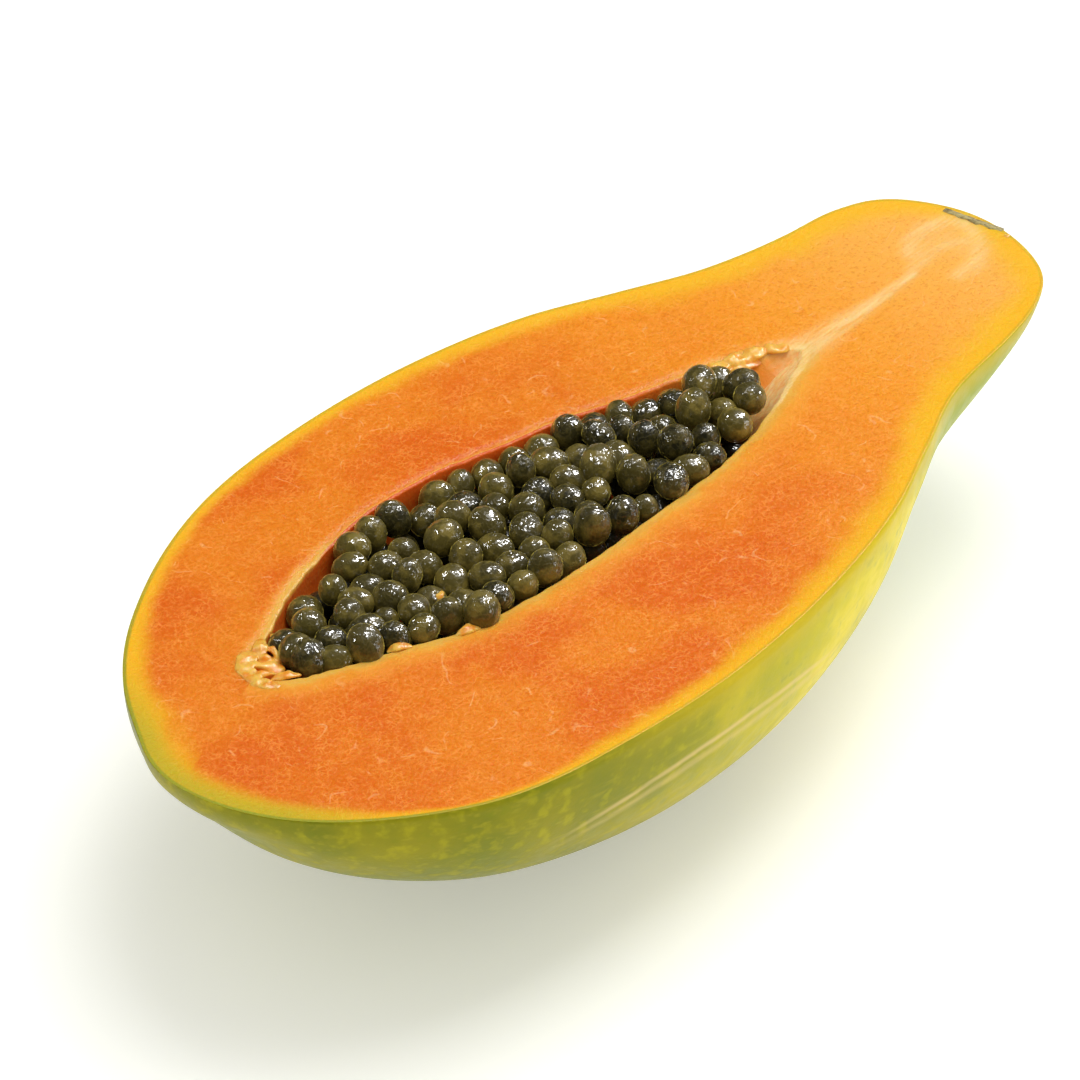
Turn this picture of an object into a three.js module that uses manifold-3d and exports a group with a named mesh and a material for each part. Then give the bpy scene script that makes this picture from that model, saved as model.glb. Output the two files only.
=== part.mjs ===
// Half a ripe papaya, cut lengthwise from the blossom end to the stalk, lying on its round back with the cut face up.
// Two pieces: the half fruit, with its seed hollow and the corky scar of its stalk, and the pile of seeds in the hollow.
//
// Millimetres, +Z up. The fruit is shaped in its own coordinates first: x runs from the blossom tip towards the stalk,
// +y is the side with the thinner flesh, and z is 0 on the cut face. At the end everything is moved so that the origin
// is under the middle of the fruit, at the height of the surface that it lies on.

import * as THREE from "three";
import { mergeVertices } from "three/addons/utils/BufferGeometryUtils.js";
import Module from "manifold-3d";

// The half fruit: distance from the blossom tip, half width on the +y and the -y side, depth below the cut face, and
// how the cross-section is rounded: 1 is an ellipse, less is fuller, more is leaner, as it is round the neck.
const FRUIT_LENGTH = 190;
const FRUIT_STATIONS = [
  { x: 4, plus: 11.6, minus: 15.2, depth: 7.3, rounding: 0.88 },
  { x: 12, plus: 22.8, minus: 25.4, depth: 17.0, rounding: 0.88 },
  { x: 28, plus: 34.8, minus: 36.8, depth: 28.3, rounding: 0.88 },
  { x: 50, plus: 43.5, minus: 42.2, depth: 38.6, rounding: 0.88 },
  { x: 75, plus: 45.7, minus: 44.0, depth: 44.7, rounding: 0.88 },
  { x: 100, plus: 43.5, minus: 41.8, depth: 45.7, rounding: 0.88 },
  { x: 120, plus: 38.4, minus: 37.3, depth: 41.6, rounding: 0.92 },
  { x: 135, plus: 31.6, minus: 31.4, depth: 36.0, rounding: 1.02 },
  { x: 150, plus: 25.0, minus: 25.7, depth: 31.0, rounding: 1.12 },
  { x: 165, plus: 21.4, minus: 23.7, depth: 24.0, rounding: 1.17 },
  { x: 177, plus: 19.4, minus: 21.0, depth: 17.0, rounding: 1.2 },
  { x: 185, plus: 14.3, minus: 15.6, depth: 10.9, rounding: 1.22 },
  { x: 189, plus: 6.4, minus: 7.2, depth: 5.0, rounding: 1.25 },
];
const RIB_COUNT = 5; // shallow lengthwise ribs round the whole fruit
const RIB_HEIGHT = 0.4;
const RIB_PHASE = 0.55; // radians from the +y edge to the first crest
const CUT_FACE_HEIGHT = 45.5; // above the surface it lies on, where its back is flat over a small spot

// The seed hollow, measured in the same way from the end nearest the blossom.
const HOLLOW_START = { x: 26.5, y: 9 };
const HOLLOW_END = { x: 143, y: 0 };
const HOLLOW_STATIONS = [
  { x: 34, plus: 6.0, minus: 6.6, depth: 7.0 },
  { x: 44, plus: 11.2, minus: 10.0, depth: 13.0 },
  { x: 54, plus: 14.3, minus: 13.7, depth: 18.0 },
  { x: 64, plus: 16.8, minus: 15.0, depth: 21.5 },
  { x: 79, plus: 17.0, minus: 15.1, depth: 23.0 },
  { x: 92, plus: 14.6, minus: 14.1, depth: 21.5 },
  { x: 103, plus: 12.9, minus: 13.2, depth: 19.0 },
  { x: 114, plus: 9.7, minus: 11.8, depth: 16.0 },
  { x: 127, plus: 6.7, minus: 8.0, depth: 11.0 },
  { x: 137, plus: 3.6, minus: 4.0, depth: 5.5 },
];
const HOLLOW_MOUTH = 8; // how far the cutting shape stands above the cut face

// The seeds, each in its jelly coat. The ones that stand out most: x, y and height of the middle, and radius.
const LEADING_SEEDS = [
  [34, 6, -0.5, 2.9],
  [41, 1, 0.5, 2.9],
  [39.5, 11, 0, 2.6],
  [44.5, 7.5, 1, 2.4],
  [58, -7, 1, 2.9],
  [48, 14, 0, 2.3],
  [68, 9.5, 0.5, 2.9],
  [75, 7, 0, 2.9],
  [72.5, -7, 0.5, 2.8],
  [84.5, -6, 1, 3],
  [96.5, 3, 1, 3],
  [101.5, -7.5, 0.5, 2.8],
  [109, -2, 1, 2.9],
  [103, 8.5, 0.5, 2.5],
  [117, 1, 1.5, 2.9],
  [122, 4, 3.2, 2.9],
  [126, -3, 0.5, 2.7],
];
const SEED_COUNT = 93; // with the leading ones
const PILE_START = 31.5; // x where the pile begins and ends; past it the hollow is empty
const PILE_END = 130.5;
const SEED_RADIUS = { least: 2.3, most: 2.95 };
const SEED_STRETCH = { long: 1.08, wide: 0.97 };
const SEED_CROWDING = 0.96; // share of two seeds' radii that they stay apart, seen from above
const SETTLING_STEPS = 150;
const PILE_LEVEL = -0.6; // height of the seeds' middles along the hollow's centre line
const PILE_DROP = 1.6; // how much lower they lie along the +y wall
const PILE_UNEVEN = 1.3;
const CORE_TOP = -1.2; // top of the solid middle of the pile, which the seeds stand out of
const GAP = 0.3; // between two pieces that touch

// The scar of the stalk: half a ragged disc of cork that stands a little proud of the stalk end.
const SCAR_MIDDLE = { x: 189.2, y: 0.6 }; // of its outer face
const SCAR_TURN = 8; // degrees about the upright, because the stalk end is cut off askew
const SCAR_RADIUS = 5.8;
const SCAR_THICKNESS = 2.6;
const SCAR_NOTCHES = 9;
const SCAR_NOTCH_DEPTH = 0.35;

// How finely the surfaces are divided.
const FRUIT_ROWS = 60;
const FRUIT_SIDES = 32; // round the back
const HOLLOW_ROWS = 40;
const HOLLOW_SIDES = 12; // from rim to rim
const SCAR_SIDES = 20;

const wasm = await Module();
wasm.setup();

// Half an ellipse's height along a body: 0 at both ends and 1 in the middle, so that ends come out round.
function roundness(share) {
  const s = Math.min(Math.max(share, 0), 1);
  return 2 * Math.sqrt(s * (1 - s));
}

// A body's half widths and depth at any x: the stations give how far each swells past an ellipse, and a smooth curve
// joins those swellings.
function bodyShape(stations, start, end) {
  const share = (x) => (x - start) / (end - start);
  const xs = stations.map((s) => s.x);
  const swellings = (key) => stations.map((s) => s[key] / roundness(share(s.x)));
  const curves = { plus: swellings("plus"), minus: swellings("minus"), depth: swellings("depth") };
  return (x, key) => smoothAt(xs, curves[key], x) * roundness(share(x));
}

// A smooth curve through (xs, values), level beyond both ends.
function smoothAt(xs, values, x) {
  const last = xs.length - 1;
  if (x <= xs[0]) return values[0];
  if (x >= xs[last]) return values[last];
  let i = 0;
  while (xs[i + 1] < x) i++;
  const slope = (j) => {
    const a = Math.max(j - 1, 0);
    const b = Math.min(j + 1, last);
    return (values[b] - values[a]) / (xs[b] - xs[a]);
  };
  const h = xs[i + 1] - xs[i];
  const t = (x - xs[i]) / h;
  const rise = values[i + 1] - values[i];
  const bendA = slope(i) * h - rise;
  const bendB = rise - slope(i + 1) * h;
  return values[i] + t * rise + t * (1 - t) * ((1 - t) * bendA + t * bendB);
}

// Numbers from 0 to 1 that look random and are the same at every run.
function seededRandom(seed) {
  let state = seed;
  return () => {
    state = (Math.imul(state, 1664525) + 1013904223) >>> 0;
    return state / 4294967296;
  };
}

// A closed surface from rings of points, each ring with the same count of points.
function closedRings(rows, ring, pointAt) {
  const positions = [];
  const index = [];
  for (let i = 0; i <= rows; i++) {
    for (let j = 0; j < ring; j++) {
      const p = pointAt(evenEnds(i / rows), j);
      positions.push(p.x, p.y, p.z);
    }
  }
  for (let i = 0; i < rows; i++) {
    for (let j = 0; j < ring; j++) {
      const a = i * ring + j;
      const b = i * ring + ((j + 1) % ring);
      index.push(a, a + ring, b, b, a + ring, b + ring);
    }
  }
  const geometry = new THREE.BufferGeometry();
  geometry.setAttribute("position", new THREE.Float32BufferAttribute(positions, 3));
  geometry.setIndex(index);
  return geometry;
}

// A geometry as a solid that can be joined and cut.
function solid(geometry) {
  const bare = geometry.index ? geometry.toNonIndexed() : geometry.clone();
  bare.deleteAttribute("normal");
  bare.deleteAttribute("uv");
  const merged = mergeVertices(bare, 1e-4);
  const made = new wasm.Manifold(
    new wasm.Mesh({
      numProp: 3,
      vertProperties: merged.attributes.position.array,
      triVerts: new Uint32Array(merged.index.array),
    }),
  );
  return made;
}

// A solid back as a geometry with flat faces.
function geometryOf(made) {
  const mesh = made.getMesh();
  const geometry = new THREE.BufferGeometry();
  geometry.setAttribute("position", new THREE.BufferAttribute(mesh.vertProperties, 3));
  geometry.setIndex(new THREE.BufferAttribute(mesh.triVerts, 1));
  const flat = geometry.toNonIndexed();
  flat.computeVertexNormals();
  return flat;
}

const fruitShape = bodyShape(FRUIT_STATIONS, 0, FRUIT_LENGTH);
const hollowShape = bodyShape(HOLLOW_STATIONS, HOLLOW_START.x, HOLLOW_END.x);

// Rows lie closer together near the round ends.
function evenEnds(share) {
  return (1 - Math.cos(Math.PI * share)) / 2;
}

function roundingAt(x) {
  return smoothAt(FRUIT_STATIONS.map((s) => s.x), FRUIT_STATIONS.map((s) => s.rounding), x);
}

function signedPower(value, power) {
  return Math.sign(value) * Math.abs(value) ** power;
}

// The fruit without its hollow: each ring runs from the +y edge round the back to the -y edge, and its last point is
// in the middle of the cut face.
function wholeHalf() {
  const rings = closedRings(FRUIT_ROWS, FRUIT_SIDES + 2, (along, j) => {
    const x = FRUIT_LENGTH * along;
    if (j > FRUIT_SIDES) return { x, y: 0, z: 0 };
    const angle = (Math.PI * j) / FRUIT_SIDES;
    const side = 2 * j < FRUIT_SIDES ? "plus" : "minus";
    const power = roundingAt(x);
    const rib = Math.cos(RIB_COUNT * (angle - RIB_PHASE)) * Math.sin(angle) * RIB_HEIGHT * roundness(along);
    const y = fruitShape(x, side) * signedPower(Math.cos(angle), power);
    const z = -fruitShape(x, "depth") * signedPower(Math.sin(angle), power);
    return { x, y: y + rib * Math.cos(angle), z: z - rib * Math.sin(angle) };
  });
  return solid(rings);
}

function hollowMiddle(x) {
  const share = (x - HOLLOW_START.x) / (HOLLOW_END.x - HOLLOW_START.x);
  return HOLLOW_START.y + share * (HOLLOW_END.y - HOLLOW_START.y);
}

// The hollow, going on straight up above the cut face. Shrink pulls its wall in all round.
function hollowSolid(shrink) {
  const length = HOLLOW_END.x - HOLLOW_START.x - 2 * shrink;
  const rings = closedRings(HOLLOW_ROWS, HOLLOW_SIDES + 3, (along, j) => {
    const x = HOLLOW_START.x + shrink + length * along;
    const side = 2 * j < HOLLOW_SIDES || j === HOLLOW_SIDES + 2 ? "plus" : "minus";
    const inside = along > 0 && along < 1;
    const width = inside ? Math.max(hollowShape(x, side) - shrink, 0.01) : 0;
    const depth = inside ? Math.max(hollowShape(x, "depth") - shrink, 0.01) : 0;
    const angle = (Math.PI * j) / HOLLOW_SIDES;
    if (j <= HOLLOW_SIDES) {
      return { x, y: hollowMiddle(x) + width * Math.cos(angle), z: -depth * Math.sin(angle) };
    }
    const edge = side === "plus" ? width : -width;
    return { x, y: hollowMiddle(x) + edge, z: inside ? HOLLOW_MOUTH : 0 };
  });
  return solid(rings);
}

// A block that takes in everything between two heights, from one x to another.
function slab(bottom, top, fromX = -FRUIT_LENGTH, toX = 2 * FRUIT_LENGTH) {
  const block = new THREE.BoxGeometry(toX - fromX, 2 * FRUIT_LENGTH, top - bottom);
  return solid(block.translate((fromX + toX) / 2, 0, (bottom + top) / 2));
}

function scarSolid() {
  const outline = new THREE.Shape();
  for (let i = 0; i <= SCAR_SIDES; i++) {
    const angle = Math.PI + (Math.PI * i) / SCAR_SIDES;
    const notch = SCAR_NOTCH_DEPTH * (0.5 + 0.5 * Math.cos(SCAR_NOTCHES * angle));
    const radius = SCAR_RADIUS - notch;
    const [y, z] = [radius * Math.cos(angle), radius * Math.sin(angle)];
    if (i === 0) outline.moveTo(y, 0);
    else outline.lineTo(y, i === SCAR_SIDES ? 0 : z);
  }
  const disc = new THREE.ExtrudeGeometry(outline, { depth: SCAR_THICKNESS, bevelEnabled: false });
  disc.rotateX(Math.PI / 2).rotateZ(Math.PI / 2).translate(-SCAR_THICKNESS, 0, 0);
  disc.rotateZ(THREE.MathUtils.degToRad(SCAR_TURN)).translate(SCAR_MIDDLE.x, SCAR_MIDDLE.y, 0);
  return solid(disc);
}

// How far from the middle a seed of this radius can lie at x, on the given side.
function roomFor(x, side, radius) {
  return Math.max(hollowShape(x, side) - radius - GAP, 0);
}

function keepInMouth(seed) {
  seed.x = THREE.MathUtils.clamp(seed.x, PILE_START + seed.radius, PILE_END - seed.radius);
  const middle = hollowMiddle(seed.x);
  const low = middle - roomFor(seed.x, "minus", seed.radius);
  const high = middle + roomFor(seed.x, "plus", seed.radius);
  seed.y = THREE.MathUtils.clamp(seed.y, low, high);
}

// Seen from above, the seeds spread until each has its place in the hollow's mouth; the leading ones stay put.
function spreadSeeds() {
  const random = seededRandom(11);
  const seeds = LEADING_SEEDS.map(([x, y, z, radius]) => ({ x, y, z, radius, fixed: true }));
  while (seeds.length < SEED_COUNT) {
    const x = THREE.MathUtils.lerp(PILE_START, PILE_END, random());
    const aside = (2 * random() - 1) * Math.max(...HOLLOW_STATIONS.map((s) => s.plus));
    const radius = THREE.MathUtils.lerp(SEED_RADIUS.least, SEED_RADIUS.most, random());
    const unevenness = 2 * random() - 1;
    if (Math.abs(aside) > hollowShape(x, "plus")) continue;
    seeds.push({ x, y: hollowMiddle(x) + aside, radius, unevenness, fixed: false });
  }
  for (let step = 0; step < SETTLING_STEPS; step++) {
    for (const [i, a] of seeds.entries()) {
      for (const b of seeds.slice(i + 1)) pushApart(a, b);
    }
    seeds.filter((seed) => !seed.fixed).forEach(keepInMouth);
  }
  return seeds;
}

function pushApart(a, b) {
  const distance = Math.hypot(a.x - b.x, a.y - b.y);
  const overlap = (a.radius + b.radius) * SEED_CROWDING - distance;
  if (overlap <= 0 || distance === 0) return;
  const push = (0.25 * overlap) / distance;
  const [dx, dy] = [(a.x - b.x) * push, (a.y - b.y) * push];
  if (!a.fixed) {
    a.x += dx;
    a.y += dy;
  }
  if (!b.fixed) {
    b.x -= dx;
    b.y -= dy;
  }
}

// The pile lies level along the middle and falls off towards the +y wall.
function seedHeight(seed) {
  if (seed.fixed) return seed.z;
  const aside = Math.max(seed.y - hollowMiddle(seed.x), 0) / Math.max(hollowShape(seed.x, "plus"), 1);
  return PILE_LEVEL - PILE_DROP * aside * aside + PILE_UNEVEN * seed.unevenness;
}

// One solid of all the seeds, standing out of a plain core that fills the hollow below them.
function pileSolid() {
  const room = hollowSolid(GAP);
  const core = room.intersect(slab(-FRUIT_LENGTH, CORE_TOP, PILE_START, PILE_END));
  const wall = slab(-FRUIT_LENGTH, GAP).subtract(room);
  const random = seededRandom(5);
  const balls = spreadSeeds().map((seed) => {
    const ball = new THREE.IcosahedronGeometry(seed.radius, 1);
    ball.scale(SEED_STRETCH.long, SEED_STRETCH.wide, SEED_STRETCH.wide);
    ball.rotateX(random() * Math.PI).rotateY(random() * Math.PI).rotateZ(random() * Math.PI);
    return solid(ball.translate(seed.x, seed.y, seedHeight(seed)));
  });
  const pile = balls.reduce((joined, ball) => joined.add(ball), core).subtract(wall);
  const bodies = pile.decompose().sort((a, b) => b.volume() - a.volume());
  return bodies[0];
}

// The fruit with the scar, its hollow and the flat spot on its underside.
function fruitSolid() {
  const under = slab(-FRUIT_LENGTH, -CUT_FACE_HEIGHT);
  return wholeHalf().add(scarSolid()).subtract(under).subtract(hollowSolid(0));
}

const skinAndFlesh = new THREE.MeshStandardMaterial({ color: "#ee8426", roughness: 0.45, metalness: 0 });
const seedCoat = new THREE.MeshStandardMaterial({ color: "#2b2c17", roughness: 0.2, metalness: 0 });

function piece(name, made, material) {
  const mesh = new THREE.Mesh(geometryOf(made), material);
  mesh.name = name;
  return mesh;
}

const papaya = new THREE.Group();
papaya.add(piece("fruit_half", fruitSolid(), skinAndFlesh));
papaya.add(piece("seeds", pileSolid(), seedCoat));

const extent = new THREE.Box3().setFromObject(papaya);
const middle = extent.getCenter(new THREE.Vector3());
papaya.position.set(-middle.x, -middle.y, CUT_FACE_HEIGHT);

export default papaya;
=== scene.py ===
"""Half a ripe papaya with its seeds, lying on its back with the cut face up.

Sizes are in millimetres in the fruit's own coordinates: x runs from the blossom tip to the stalk end, +y is
the side with the thinner flesh, and z is 0 on the cut face. place() turns them into the frame's metres. Only
the materials read the frame's coordinates, in millimetres too.
"""

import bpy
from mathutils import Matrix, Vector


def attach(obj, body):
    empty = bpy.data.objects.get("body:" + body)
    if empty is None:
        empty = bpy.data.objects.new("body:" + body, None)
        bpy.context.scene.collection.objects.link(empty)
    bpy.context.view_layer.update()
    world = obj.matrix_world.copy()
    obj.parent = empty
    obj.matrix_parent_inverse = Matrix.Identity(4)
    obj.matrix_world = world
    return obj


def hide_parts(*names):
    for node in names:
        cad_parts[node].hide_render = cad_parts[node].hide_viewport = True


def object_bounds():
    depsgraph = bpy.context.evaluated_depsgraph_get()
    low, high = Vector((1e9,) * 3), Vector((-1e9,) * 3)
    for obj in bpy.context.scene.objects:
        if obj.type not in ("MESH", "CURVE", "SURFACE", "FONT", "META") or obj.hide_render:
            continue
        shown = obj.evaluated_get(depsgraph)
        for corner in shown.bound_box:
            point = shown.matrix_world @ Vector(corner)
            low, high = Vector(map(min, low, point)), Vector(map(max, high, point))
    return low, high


bl_info = {
    "name": "Papaya Half",
    "version": (1, 0, 0),
    "blender": (4, 5, 0),
    "location": "3D View > Sidebar > Papaya",
    "description": "Builds the flesh, skin, seeds and stalk scar of a cut papaya on its packed frame",
    "category": "Add Mesh",
}

import math
from functools import partial

import bmesh
import bpy
import numpy as np
from bpy.props import FloatProperty, FloatVectorProperty, IntProperty, PointerProperty
from mathutils import Euler, Vector, noise

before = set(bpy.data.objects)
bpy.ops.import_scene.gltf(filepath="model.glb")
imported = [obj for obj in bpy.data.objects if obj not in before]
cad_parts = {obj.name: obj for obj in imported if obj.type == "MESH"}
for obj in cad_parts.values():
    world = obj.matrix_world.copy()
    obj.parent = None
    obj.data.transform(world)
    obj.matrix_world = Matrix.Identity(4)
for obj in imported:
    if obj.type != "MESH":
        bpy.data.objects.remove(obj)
CAD_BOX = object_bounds()

MM = 0.001

# The half fruit, as in the part: distance from the blossom tip, half widths on the +y and the -y side, depth,
# and how the cross-section is rounded, where 1 is an ellipse and less is fuller.
FRUIT_LENGTH = 190.0
FRUIT_STATIONS = {
    "x": (4, 12, 28, 50, 75, 100, 120, 135, 150, 165, 177, 185, 189),
    "plus": (11.6, 22.8, 34.8, 43.5, 45.7, 43.5, 38.4, 31.6, 25.0, 21.4, 19.4, 14.3, 6.4),
    "minus": (15.2, 25.4, 36.8, 42.2, 44.0, 41.8, 37.3, 31.4, 25.7, 23.7, 21.0, 15.6, 7.2),
    "depth": (7.3, 17.0, 28.3, 38.6, 44.7, 45.7, 41.6, 36.0, 31.0, 24.0, 17.0, 10.9, 5.0),
    "rounding": (0.88, 0.88, 0.88, 0.88, 0.88, 0.88, 0.92, 1.02, 1.12, 1.17, 1.2, 1.22, 1.25),
}
RIB_COUNT = 5
RIB_HEIGHT = 0.4
RIB_PHASE = 0.55
CUT_FACE_HEIGHT = 45.5

# The seed hollow. Towards the stalk it runs out in a shallow groove with leaning sides.
HOLLOW_START = (26.5, 9.0)
HOLLOW_END = (143.0, 0.0)
HOLLOW_STATIONS = {
    "x": (34, 44, 54, 64, 79, 92, 103, 114, 127, 137),
    "plus": (6.0, 11.2, 14.3, 16.8, 17.0, 14.6, 12.9, 9.7, 6.7, 3.6),
    "minus": (6.6, 10.0, 13.7, 15.0, 15.1, 14.1, 13.2, 11.8, 8.0, 4.0),
    "depth": (7.0, 13.0, 18.0, 21.5, 23.0, 21.5, 19.0, 15.0, 8.0, 3.0),
    "rounding": (1.0, 1.0, 1.0, 1.0, 1.0, 1.0, 1.0, 1.1, 1.4, 1.7),
}

# Pale fibres in the cut face, a streak from the hollow and a loop at the stalk: how pale each strand is, and
# x, y and half width along its middle.
FIBRE_STRANDS = (
    (0.9, (141.0, -0.7, 2.8), (146.0, -0.9, 2.5), (152.0, -1.0, 1.8), (160.0, -1.3, 1.2), (170.7, -1.1, 0.8)),
    (0.5, (168.0, -1.2, 0.8), (173.0, 0.2, 1.6), (177.0, 2.6, 2.2)),
    (0.75, (174.5, 3.0, 1.6), (177.6, 5.0, 1.6), (181.6, 5.3, 1.7), (186.0, 4.0, 1.8), (187.2, 1.2, 1.6)),
    (0.68, (187.2, 1.2, 1.6), (184.6, -3.8, 1.8), (179.5, -6.9, 1.8), (174.8, -7.0, 1.4)),
    (0.62, (174.0, 0.2, 1.5), (177.6, 0.9, 1.8), (181.0, -0.4, 1.7), (184.0, -2.4, 1.5)),
    (0.3, (176.5, 2.6, 3.4), (182.0, 1.4, 4.2), (182.5, -2.0, 4.0)),
)

# Fibres in the groove: where they start on its +y and its -y side, and over how far they fade in.
GROOVE_FIBRES = (136.0, 123.0)
GROOVE_FADE = 7.0

# The relief of the cut face: heights and sizes of the knife's waves, how far it is sunk, height and reach of
# the swell beside the hollow and of the droop at its lip, the fibres' grooves and the fade at the skin.
KNIFE_WAVES = ((0.14, 22.0), (0.05, 4.0))
FACE_SUNK = 0.15
SWELL, SWELL_REACH = 0.1, 2.5
DROOP, DROOP_REACH = 0.25, 0.8
FIBRE_GROOVE = 0.18
EDGE_FADE = 3.0

# The hollow's ragged rim: how far it swings, how much more at both tips, how far those reach, and its waves.
RIM_SWING, TIP_SWING = 0.25, 0.55
TIP_REACH = (6.0, 4.0)
RIM_RAGS = 3.5

# The pale rim is narrower on the +y side and hardly there along its middle: how far each side stretches the
# distance from the rim, what the face and the wall add along that middle, its ends, and how long they fade.
RIM_STRETCH = (2.2, 0.8)
FAR_FACE_SHIFT, FAR_WALL_SHIFT = 2.8, 3.0
FAR_MIDDLE = ((50.0, 130.0), (15.0, 12.0))
FAR_AWAY = 30.0

# How wide the yellow band under the skin is, along the fruit and on either side, and the size of its waves.
BAND_WIDTHS = {
    "x": (0, 10, 20, 32, 50, 75, 100, 122, 150, 175, 190),
    "plus": (6.0, 4.4, 2.8, 2.0, 1.8, 2.0, 2.4, 3.0, 4.0, 4.4, 3.0),
    "minus": (5.2, 2.8, 1.0, 1.0, 2.3, 3.0, 3.3, 3.8, 4.8, 5.0, 4.0),
}
BAND_WAVES, BAND_WAVE_HEIGHT = 9.0, 0.35
BAND_EDGE = (0.3, 1.5)  # where it starts to fade and over how far, as shares of its width

# The seeds, as in the part. The ones that stand out most: x, y and height of the middle, and radius.
LEADING_SEEDS = (
    (34, 6, -0.5, 2.9), (41, 1, 0.5, 2.9), (39.5, 11, 0, 2.6), (44.5, 7.5, 1, 2.4),
    (58, -7, 1, 2.9), (48, 14, 0, 2.3), (68, 9.5, 0.5, 2.9), (75, 7, 0, 2.9),
    (72.5, -7, 0.5, 2.8), (84.5, -6, 1, 3), (96.5, 3, 1, 3), (101.5, -7.5, 0.5, 2.8),
    (109, -2, 1, 2.9), (103, 8.5, 0.5, 2.5), (117, 1, 1.5, 2.9), (122, 4, 3.2, 2.9),
    (126, -3, 0.5, 2.7),
)
PILE_START, PILE_END = 31.5, 130.5
SEED_RADIUS = (2.3, 2.95)
SEED_STRETCH, SEED_VARIETY = (1.08, 0.97, 0.97), (0.12, -0.06, 0.0)
SEED_CROWDING = 0.96
SEED_PUSH = 0.25
SETTLING_STEPS = 150
PILE_LEVEL = -0.6
PILE_DROP = 1.6
PILE_UNEVEN = 1.3
GAP = 0.3

# Where the random draws of each layer's places and turns start, and the tones'. Then count, depth and
# unevenness of the layers below the top one.
PLACE_DRAWS, TURN_DRAWS, TONE_DRAW = (11, 23, 31), (5, 7, 9), 77
LOWER_LAYERS = ((84, 4.2, 0.7), (70, 8.0, 0.5))

# Dents and ripples of a seed, as shares of its radius, and how far the noise moves on from seed to seed.
DENT_SIZE, DENT_STEP = 1.1, 13.7
RIPPLE_SIZE, RIPPLE_STEP = 0.36, 5.1

# The scar of the stalk, with the lobes of its ragged edge and the cracks in front and behind.
SCAR_MIDDLE = (189.2, 0.6)
SCAR_TURN = 8.0
SCAR_RADIUS = 5.8
SCAR_LOBES, LOBE_HEIGHT = 9, 0.3
CORK_THICKNESS, CORK_PROUD = 1.0, 0.18
CRACK_SIZE, CRACK_DEPTHS = 1.4, (0.35, 0.7)

# How finely the surfaces are divided.
RING = 640  # points round the cut face
BACK_ROWS = 44
FACE_ROWS, ROW_CROWDING = 76, 0.45
LIP_STEPS = (0.08, 0.25, 0.5, 0.8, 1.0)  # shares of the lip's radius
WALL_ROWS = 12
SCAR_RINGS, SCAR_SIDES = 8, 72
TORN_VOXEL, TORN_SOFTENINGS = 0.16, 6

# Sizes of the patterns in the materials. Real grain, cells, threads and pores are finer: these are as coarse
# as the render needs to show them.
FLESH_CLOUDS = 22.0
FLESH_BLOTCHES = 3.0
FLESH_GRAIN = 0.55
FLESH_CELLS = 1.15
CELL_BENDS, CELL_SHIFT = 1.818, 2.2
KNIFE_LINES = 13.0
RIM_WAVES = 5.0
FIBRE_THREADS = (5.4, 0.6, 0.6)
SKIN_PATCHES = 18.0
SKIN_MOTTLE = 2.6
SKIN_PORES = 0.55
SKIN_STREAKS = (18.0, 1.2, 1.2)
HIGHLIGHT_WAVES = 9.0
SEED_CLOUDS = 1.6
SEED_BLOTCHES = 2.4
SEED_CRINKLES = 1.1
JELLY_RIPPLES = 1.3
TORN_FOLDS = 1.6
CORK_CRACKS = 1.0

# The skin's two pale lines, painted highlights that stand for a strip reflected in the waxy skin, in the
# frame's coordinates: height, half width and strength, and the middle, lean and bow of their curve.
PAINTED_HIGHLIGHTS = ((34.8, 1.0, 0.6), (32.3, 1.5, 0.35))
HIGHLIGHT_MIDDLE, HIGHLIGHT_LEAN, HIGHLIGHT_BOW = -23.0, 0.035, 0.0042

# The stage, in metres: the floor's half width, what the lights face, and their places and sizes.
FLOOR_REACH = 6.0
LIT_POINT = (0.0, 0.0, 0.03)
SOFTBOX = ((0.17, -0.05, 0.92), (0.5, 0.5))
LOW_FILL = ((0.55, -0.8, 0.22), (0.5, 0.16))
GLINT_LAMPS = (
    ("left glints", (-0.35, 0.55, 0.7), 0.1),
    ("top glints", (0.25, -0.05, 0.9), 0.15),
    ("right glints", (0.62, -0.1, 0.6), 0.22),
)


def roundness(share):
    """Half an ellipse's height along a body: 0 at both ends and 1 in the middle."""
    s = np.clip(share, 0.0, 1.0)
    return 2.0 * np.sqrt(s * (1.0 - s))


def smooth_at(xs, values, x):
    """A smooth curve through (xs, values), level beyond both ends."""
    xs, values = np.asarray(xs, float), np.asarray(values, float)
    every = np.arange(len(xs))
    before, after = np.maximum(every - 1, 0), np.minimum(every + 1, every[-1])
    slopes = (values[after] - values[before]) / (xs[after] - xs[before])
    x = np.clip(np.asarray(x, float), xs[0], xs[-1])
    i = np.clip(np.searchsorted(xs, x) - 1, 0, every[-2])
    h = xs[i + 1] - xs[i]
    t = (x - xs[i]) / h
    rise = values[i + 1] - values[i]
    bend_a = slopes[i] * h - rise
    bend_b = rise - slopes[i + 1] * h
    return values[i] + t * rise + t * (1 - t) * ((1 - t) * bend_a + t * bend_b)


def body_shape(stations, start, end, key, x):
    """A body's half width or depth at x: an ellipse's, scaled to meet the stations."""
    xs = np.array(stations["x"], float)
    swelling = np.array(stations[key], float) / roundness((xs - start) / (end - start))
    return smooth_at(xs, swelling, x) * roundness((np.asarray(x, float) - start) / (end - start))


def fruit_size(key, x):
    return body_shape(FRUIT_STATIONS, 0.0, FRUIT_LENGTH, key, x)


def hollow_size(key, x):
    return body_shape(HOLLOW_STATIONS, HOLLOW_START[0], HOLLOW_END[0], key, x)


def hollow_middle(x):
    share = (x - HOLLOW_START[0]) / (HOLLOW_END[0] - HOLLOW_START[0])
    return HOLLOW_START[1] + share * (HOLLOW_END[1] - HOLLOW_START[1])


WIDEST = float(fruit_size("plus", np.linspace(60, 100, 400)).max())
CORNER = Vector((CAD_BOX[0][0], CAD_BOX[1][1] - WIDEST * MM, CUT_FACE_HEIGHT * MM))


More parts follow.
